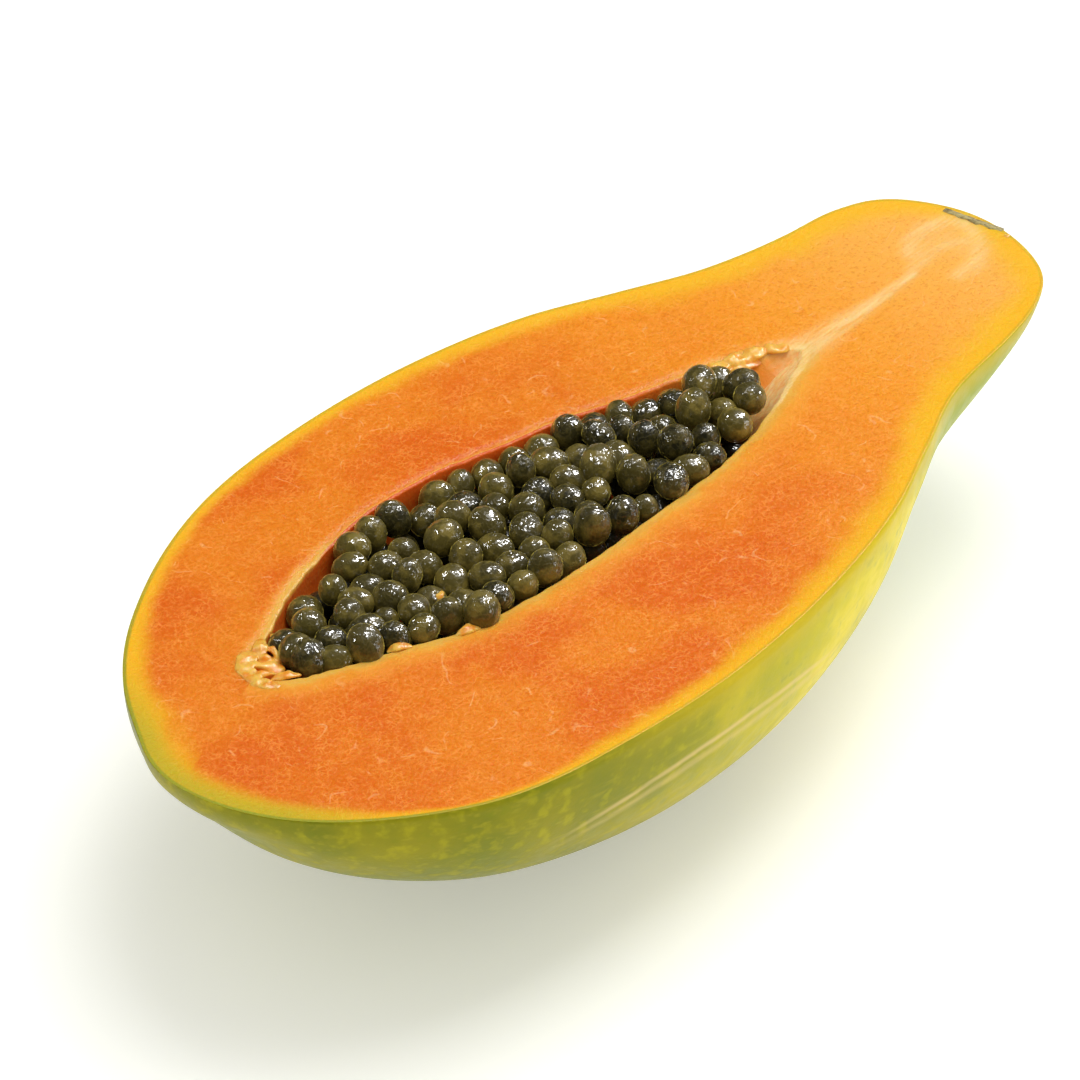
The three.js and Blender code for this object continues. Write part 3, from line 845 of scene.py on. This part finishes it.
# The torn flesh round the hollow and a crumb beside the scar: x, y and height of each flake's middle, length,
# width, thickness, the way it lies in degrees, and how far its ends bend down. Then what crumples them all.
TORN_FLAKES = (
    (27.2, 12.2, -0.05, 6.4, 3.2, 0.9, 30, 0.4),
    (31.0, 13.0, -0.05, 5.2, 2.4, 0.8, 42, 0.6),
    (34.4, 12.4, -0.1, 4.4, 1.7, 0.8, 75, 0.9),
    (25.4, 9.6, -0.05, 5.0, 3.0, 0.9, 75, 0.3),
    (29.2, 9.8, -1.5, 6.0, 5.0, 1.8, 40, 0.3),
    (28.0, 10.4, -0.4, 4.0, 1.1, 0.7, -60, 0.8),
    (29.9, 11.3, -0.4, 4.2, 1.2, 0.7, -75, 0.9),
    (31.9, 11.2, -0.4, 4.0, 1.0, 0.7, -95, 1.0),
    (27.0, 8.4, -0.3, 4.0, 1.2, 0.7, -20, 0.8),
    (25.0, 6.8, -0.05, 5.8, 2.3, 0.8, 115, 0.3),
    (28.8, 5.8, -0.25, 4.8, 1.7, 0.8, 150, 0.6),
    (44.6, -2.6, 0.0, 4.2, 1.8, 0.8, 150, 0.6),
    (54.9, -7.8, 0.0, 6.0, 1.8, 0.8, 160, 0.5),
    (55.9, -0.6, 2.0, 2.4, 1.4, 0.9, 30, 0.3),
    (129.6, 6.9, -0.4, 7.0, 3.0, 1.1, -10, 0.5),
    (133.4, 5.9, -0.3, 5.6, 3.2, 1.1, -34, 0.5),
    (136.8, 4.6, -0.35, 5.6, 3.0, 1.1, -8, 0.5),
    (133.6, 4.4, -1.1, 8.0, 2.2, 1.2, -18, 0.4),
    (139.8, 2.9, -0.25, 4.8, 2.6, 1.0, -44, 0.3),
    (188.6, -5.9, -0.5, 1.9, 1.4, 1.3, 10, 0.0),
)
CRUMPLE_SIZE, CRUMPLE_STEP = 2.0, 31.0
CRUMPLE_SWELL, CRUMPLE_RISE = 0.3, 0.25


def torn_flesh_object():
    """Bent flakes of torn flesh, melted into each other."""
    ball, ball_faces = unit_ball(4)
    points, faces = [], []
    for i, (x, y, z, length, width, thickness, turn, bend) in enumerate(TORN_FLAKES):
        flake = ball * np.array([length, width, thickness]) / 2
        crumple = rough(flake + CRUMPLE_STEP * i, CRUMPLE_SIZE)
        flake += ball * (CRUMPLE_SWELL * crumple)[:, None]
        flake[:, 2] += CRUMPLE_RISE * crumple - bend * (2 * flake[:, 0] / length) ** 2
        cos, sin = math.cos(math.radians(turn)), math.sin(math.radians(turn))
        spin = np.array([[cos, -sin, 0], [sin, cos, 0], [0, 0, 1]])
        points.append(flake @ spin.T + np.array([x, y, z]))
        faces.append(ball_faces + i * len(ball))
    faces = np.concatenate(faces).tolist()
    made = object_from("torn_flesh", np.concatenate(points), faces, [torn_material()])
    melt = made.modifiers.new("melt", "REMESH")
    melt.mode, melt.voxel_size, melt.use_smooth_shade = "VOXEL", TORN_VOXEL * MM, True
    soften = made.modifiers.new("soften", "SMOOTH")
    soften.factor, soften.iterations = 0.5, TORN_SOFTENINGS
    bpy.context.view_layer.update()
    made.data = bpy.data.meshes.new_from_object(made.evaluated_get(bpy.context.evaluated_depsgraph_get()))
    made.modifiers.clear()
    return made


def torn_material():
    """Torn papaya flesh, wet: pale yellow and see-through at its edges, orange in its folds."""
    made, node, where = material("papaya flesh, torn")
    folds = node("TexNoise", {"Vector": where, "Scale": 1 / TORN_FOLDS, "Detail": 3.0})
    height = node("SeparateXYZ", {0: where}, "Z")
    colour = node("Mix", {0: node("MapRange", {0: folds, 1: 0.3, 2: 0.6}, **SOFT), 6: "#ee8e20",
                          7: "#f7b84c"}, **COLOURS)
    # Painted shade: the flakes turn darker orange below the cut face, where they hang into the hollow.
    shade_below = node("MapRange", {0: height, 1: CUT_FACE_HEIGHT - 0.5, 2: CUT_FACE_HEIGHT - 2.0}, **SOFT)
    colour = node("Mix", {0: shade_below, 6: colour, 7: "#e0661a"}, **COLOURS)
    finish_material(node, {
        "Base Color": colour,
        "Roughness": 0.35,
        "Normal": node("Bump", {"Height": folds, "Strength": 0.25, "Distance": 0.3 * MM}),
        "IOR": 1.36,
        "Subsurface Weight": 0.4,
        "Subsurface Radius": (3.0, 1.6, 0.5),
        "Subsurface Scale": MM,
    })
    return made


def stalk_scar_object():
    """Half a ragged disc of cork in the stalk end."""
    rows = []
    turn = math.radians(SCAR_TURN)
    angle = np.linspace(math.pi, 2 * math.pi, SCAR_SIDES + 1)
    edge = SCAR_RADIUS - LOBE_HEIGHT + LOBE_HEIGHT * np.cos(SCAR_LOBES * angle)
    shares = np.linspace(0.0, 1.0, SCAR_RINGS + 1)
    for proud, outwards in ((CORK_PROUD, shares), (CORK_PROUD - CORK_THICKNESS, shares[::-1])):
        for share in outwards:
            ring = np.full(len(angle), proud), edge * share * np.cos(angle), edge * share * np.sin(angle)
            rows.append(np.column_stack(ring))
    grid = np.concatenate(rows)
    grid[:, 0] -= np.where(grid[:, 0] > 0, *CRACK_DEPTHS) * np.abs(rough(grid, CRACK_SIZE))
    x = SCAR_MIDDLE[0] + grid[:, 0] * math.cos(turn) - grid[:, 1] * math.sin(turn)
    y = SCAR_MIDDLE[1] + grid[:, 0] * math.sin(turn) + grid[:, 1] * math.cos(turn)
    points = np.column_stack([np.minimum(x, FRUIT_LENGTH), y, grid[:, 2]])
    width = SCAR_SIDES + 1
    starts = [i * width + j for i in range(len(rows) - 1) for j in range(SCAR_SIDES)]
    faces = [[a, a + 1, a + width + 1, a + width] for a in starts]
    made = object_from("stalk_scar", points, faces, [cork_material()])
    bm = bmesh.new()
    bm.from_mesh(made.data)
    bmesh.ops.remove_doubles(bm, verts=bm.verts, dist=0.01 * MM)
    bmesh.ops.holes_fill(bm, edges=[e for e in bm.edges if e.is_boundary], sides=0)
    bmesh.ops.recalc_face_normals(bm, faces=bm.faces)
    bm.to_mesh(made.data)
    bm.free()
    return made


def cork_material():
    """The cork of the stalk's scar, dried: straw-brown, dull and cracked."""
    made, node, where = material("stalk scar cork, dried")
    cracks = node("TexNoise", {"Vector": where, "Scale": 1 / CORK_CRACKS, "Detail": 4.0, "Roughness": 0.7})
    colour = node("Mix", {0: node("MapRange", {0: cracks, 1: 0.35, 2: 0.65}, **SOFT), 6: "#84713c",
                          7: "#bfae6c"}, **COLOURS)
    finish_material(node, {
        "Base Color": colour,
        "Roughness": 0.85,
        "Normal": node("Bump", {"Height": cracks, "Strength": 0.8, "Distance": 0.5 * MM}),
    })
    return made


# The stage: a white floor, soft lights and the camera.


def floor_object():
    """A white floor that glows a little and runs on past the view."""
    mesh = bpy.data.meshes.new("floor")
    corners = [(x * FLOOR_REACH, y * FLOOR_REACH, 0) for x, y in ((-1, -1), (1, -1), (1, 1), (-1, 1))]
    mesh.from_pydata(corners, [], [(0, 1, 2, 3)])
    look, node = material("white acrylic, matt")[:2]
    finish_material(node, {
        "Base Color": "#f2f2ee",
        "Roughness": 0.7,
        "Specular IOR Level": 0.2,
        "Emission Color": "#fffff8",
        "Emission Strength": 0.3,
    })
    mesh.materials.append(look)
    return linked("floor", mesh)


def area_light(name, at, size, power, glints_only=False):
    """A rectangular light that faces the fruit. One for glints only shows in wet surfaces."""
    data = bpy.data.lights.new(name, "AREA")
    data.shape = "RECTANGLE"
    data.size, data.size_y = size
    data.energy = power
    made = linked(name, data)
    made.location = at
    made.rotation_euler = (Vector(at) - Vector(LIT_POINT)).to_track_quat("Z", "Y").to_euler()
    made.visible_diffuse = not glints_only


def add_camera(settings):
    """A long lens that looks down on the fruit from the side of its blossom end."""
    azimuth, elevation = settings.camera_azimuth, settings.camera_elevation
    level = math.cos(elevation)
    back = Vector((-level * math.cos(azimuth), -level * math.sin(azimuth), math.sin(elevation)))
    aim = Vector(place([*settings.aim, 0.0]).tolist())
    data = bpy.data.cameras.new("camera")
    data.lens = settings.lens
    made = linked("camera", data)
    made.location = aim + back * settings.camera_distance
    made.rotation_euler = back.to_track_quat("Z", "Y").to_euler()
    bpy.context.scene.camera = made


def add_lights(settings):
    """White surroundings that wet surfaces don't mirror, a softbox, a low fill and lamps for the glints."""
    world = bpy.data.worlds.new("studio")
    world.use_nodes = True
    world.node_tree.nodes.clear()
    node = partial(add, world.node_tree)
    height = node("SeparateXYZ", {0: node("TexCoord", out="Generated")}, "Z")
    shade = node("Mix", {0: node("MapRange", {0: height, 2: 0.8}, **SOFT), 6: "#c4c6c4",
                         7: "#ffffff"}, **COLOURS)
    node("OutputWorld", {"Surface": node("Background", {"Color": shade, "Strength": settings.room_light})})
    world.cycles_visibility.glossy = False
    bpy.context.scene.world = world
    area_light("overhead softbox", *SOFTBOX, settings.overhead_power)
    area_light("low fill", *LOW_FILL, settings.fill_power)
    for name, at, size in GLINT_LAMPS:
        area_light(name, at, (size, size), settings.glint_power * size * size, glints_only=True)


class PapayaFruitSettings(bpy.types.PropertyGroup):
    """Sizes and colours of the half fruit"""

    lip_radius: FloatProperty(
        name="Lip Radius", description="Rounding of the hollow's edge, in mm", default=0.7, min=0.3, max=2.0)
    flesh_deep: FloatVectorProperty(
        name="Deep Flesh", description="The reddest flesh of the belly", subtype="COLOR", size=4,
        default=linear("#de660c"))
    under_skin: FloatVectorProperty(
        name="Under Skin", description="Flesh just under the skin", subtype="COLOR", size=4,
        default=linear("#f0b71e"))
    rim_colour: FloatVectorProperty(
        name="Rim", description="Pale flesh beside the hollow", subtype="COLOR", size=4,
        default=linear("#eab44e"))
    skin_green: FloatVectorProperty(
        name="Skin", description="Green of the skin", subtype="COLOR", size=4,
        default=linear("#7f8216"))


class PapayaSeedSettings(bpy.types.PropertyGroup):
    """Count and colour of the seeds"""

    seed_count: IntProperty(
        name="Seeds on Top", description="Seeds in the top layer", default=93, min=20, max=120)
    seed_crinkle: FloatProperty(
        name="Crinkles", description="Depth of the seeds' dents, as a share of their radius", default=0.05,
        min=0.0, max=0.15, subtype="FACTOR")
    seed_dark: FloatVectorProperty(
        name="Seed", description="Darkest colour of the seeds", subtype="COLOR", size=4,
        default=linear("#18180a"))


class PapayaStageSettings(bpy.types.PropertyGroup):
    """Camera and lights"""

    camera_azimuth: FloatProperty(
        name="Azimuth", description="Camera's angle from the fruit's axis", default=math.radians(41.0),
        subtype="ANGLE")
    camera_elevation: FloatProperty(
        name="Elevation", description="Camera's height angle", default=math.radians(38.0), subtype="ANGLE")
    camera_distance: FloatProperty(
        name="Distance", description="From the camera to its aim", default=0.8355, unit="LENGTH")
    aim: FloatVectorProperty(
        name="Aim", description="Where the camera aims on the cut face, in mm", size=2, default=(77.6, -1.5))
    lens: FloatProperty(name="Lens", description="Focal length in mm, for a sensor 36 mm wide", default=183.3)
    room_light: FloatProperty(
        name="Room Light", description="Strength of the white surroundings", default=0.7)
    overhead_power: FloatProperty(
        name="Overhead Light", description="Power of the main softbox", default=4.1, subtype="POWER")
    glint_power: FloatProperty(
        name="Glint Lamps", description="Watts per square metre of the lamps for glints", default=220.0)
    fill_power: FloatProperty(
        name="Low Light", description="Power of the low fill on the right", default=1.6, subtype="POWER")


class PapayaHalfFruit(bpy.types.Operator):
    """Builds the half fruit with its flesh and skin"""

    bl_idname = "papaya.half_fruit"
    bl_label = "Half Fruit"

    def execute(self, context):
        in_frame(half_fruit_mesh(context.scene.papaya_fruit), "fruit_half")
        return {"FINISHED"}


class PapayaTornFlesh(bpy.types.Operator):
    """Builds the torn bits of flesh at the ends of the hollow"""

    bl_idname = "papaya.torn_flesh"
    bl_label = "Torn Flesh"

    def execute(self, context):
        in_frame(torn_flesh_object(), None)
        return {"FINISHED"}


class PapayaStalkScar(bpy.types.Operator):
    """Builds the corky scar of the stalk"""

    bl_idname = "papaya.stalk_scar"
    bl_label = "Stalk Scar"

    def execute(self, context):
        in_frame(stalk_scar_object(), None)
        return {"FINISHED"}


class PapayaSeeds(bpy.types.Operator):
    """Builds the seeds and the jelly round them"""

    bl_idname = "papaya.seeds"
    bl_label = "Seeds"

    def execute(self, context):
        settings = context.scene.papaya_seeds
        placed = seed_layers(settings)
        top = [s for s in placed if s[3] == 0]
        below = [s for s in placed if s[3] > 0]
        look = seed_material(settings)
        in_frame(seed_cluster("seeds_on_top", top, settings.seed_crinkle, 4, look), "seeds")
        in_frame(seed_cluster("seeds_below", below, settings.seed_crinkle, 3, look), "seeds")
        return {"FINISHED"}


class PapayaStage(bpy.types.Operator):
    """Sets up the floor, the lights and the camera"""

    bl_idname = "papaya.stage"
    bl_label = "Stage"

    def execute(self, context):
        settings = context.scene.papaya_stage
        floor_object()
        add_lights(settings)
        add_camera(settings)
        context.scene.view_settings.view_transform = "Standard"
        return {"FINISHED"}


class PapayaPanel(bpy.types.Panel):
    """Lists the pieces of the papaya"""

    bl_idname = "PAPAYA_PT_pieces"
    bl_label = "Papaya Half"
    bl_space_type = "VIEW_3D"
    bl_region_type = "UI"
    bl_category = "Papaya"

    def draw(self, context):
        for group, operators in (
            (context.scene.papaya_fruit, ("papaya.half_fruit", "papaya.torn_flesh", "papaya.stalk_scar")),
            (context.scene.papaya_seeds, ("papaya.seeds",)),
            (context.scene.papaya_stage, ("papaya.stage",)),
        ):
            box = self.layout.box()
            for key in group.bl_rna.properties.keys():
                if key not in ("rna_type", "name"):
                    box.prop(group, key)
            for operator in operators:
                box.operator(operator)


GROUPS = {
    "papaya_fruit": PapayaFruitSettings,
    "papaya_seeds": PapayaSeedSettings,
    "papaya_stage": PapayaStageSettings,
}
CLASSES = (
    *GROUPS.values(),
    PapayaHalfFruit,
    PapayaTornFlesh,
    PapayaStalkScar,
    PapayaSeeds,
    PapayaStage,
    PapayaPanel,
)


def register():
    for one in CLASSES:
        bpy.utils.register_class(one)
    for key, group in GROUPS.items():
        setattr(bpy.types.Scene, key, PointerProperty(type=group))


def unregister():
    for key in GROUPS:
        delattr(bpy.types.Scene, key)
    for one in reversed(CLASSES):
        bpy.utils.unregister_class(one)


def main():
    register()
    bpy.ops.papaya.half_fruit()
    bpy.ops.papaya.torn_flesh()
    bpy.ops.papaya.stalk_scar()
    bpy.ops.papaya.seeds()
    bpy.ops.papaya.stage()


if __name__ == "__main__":
    main()
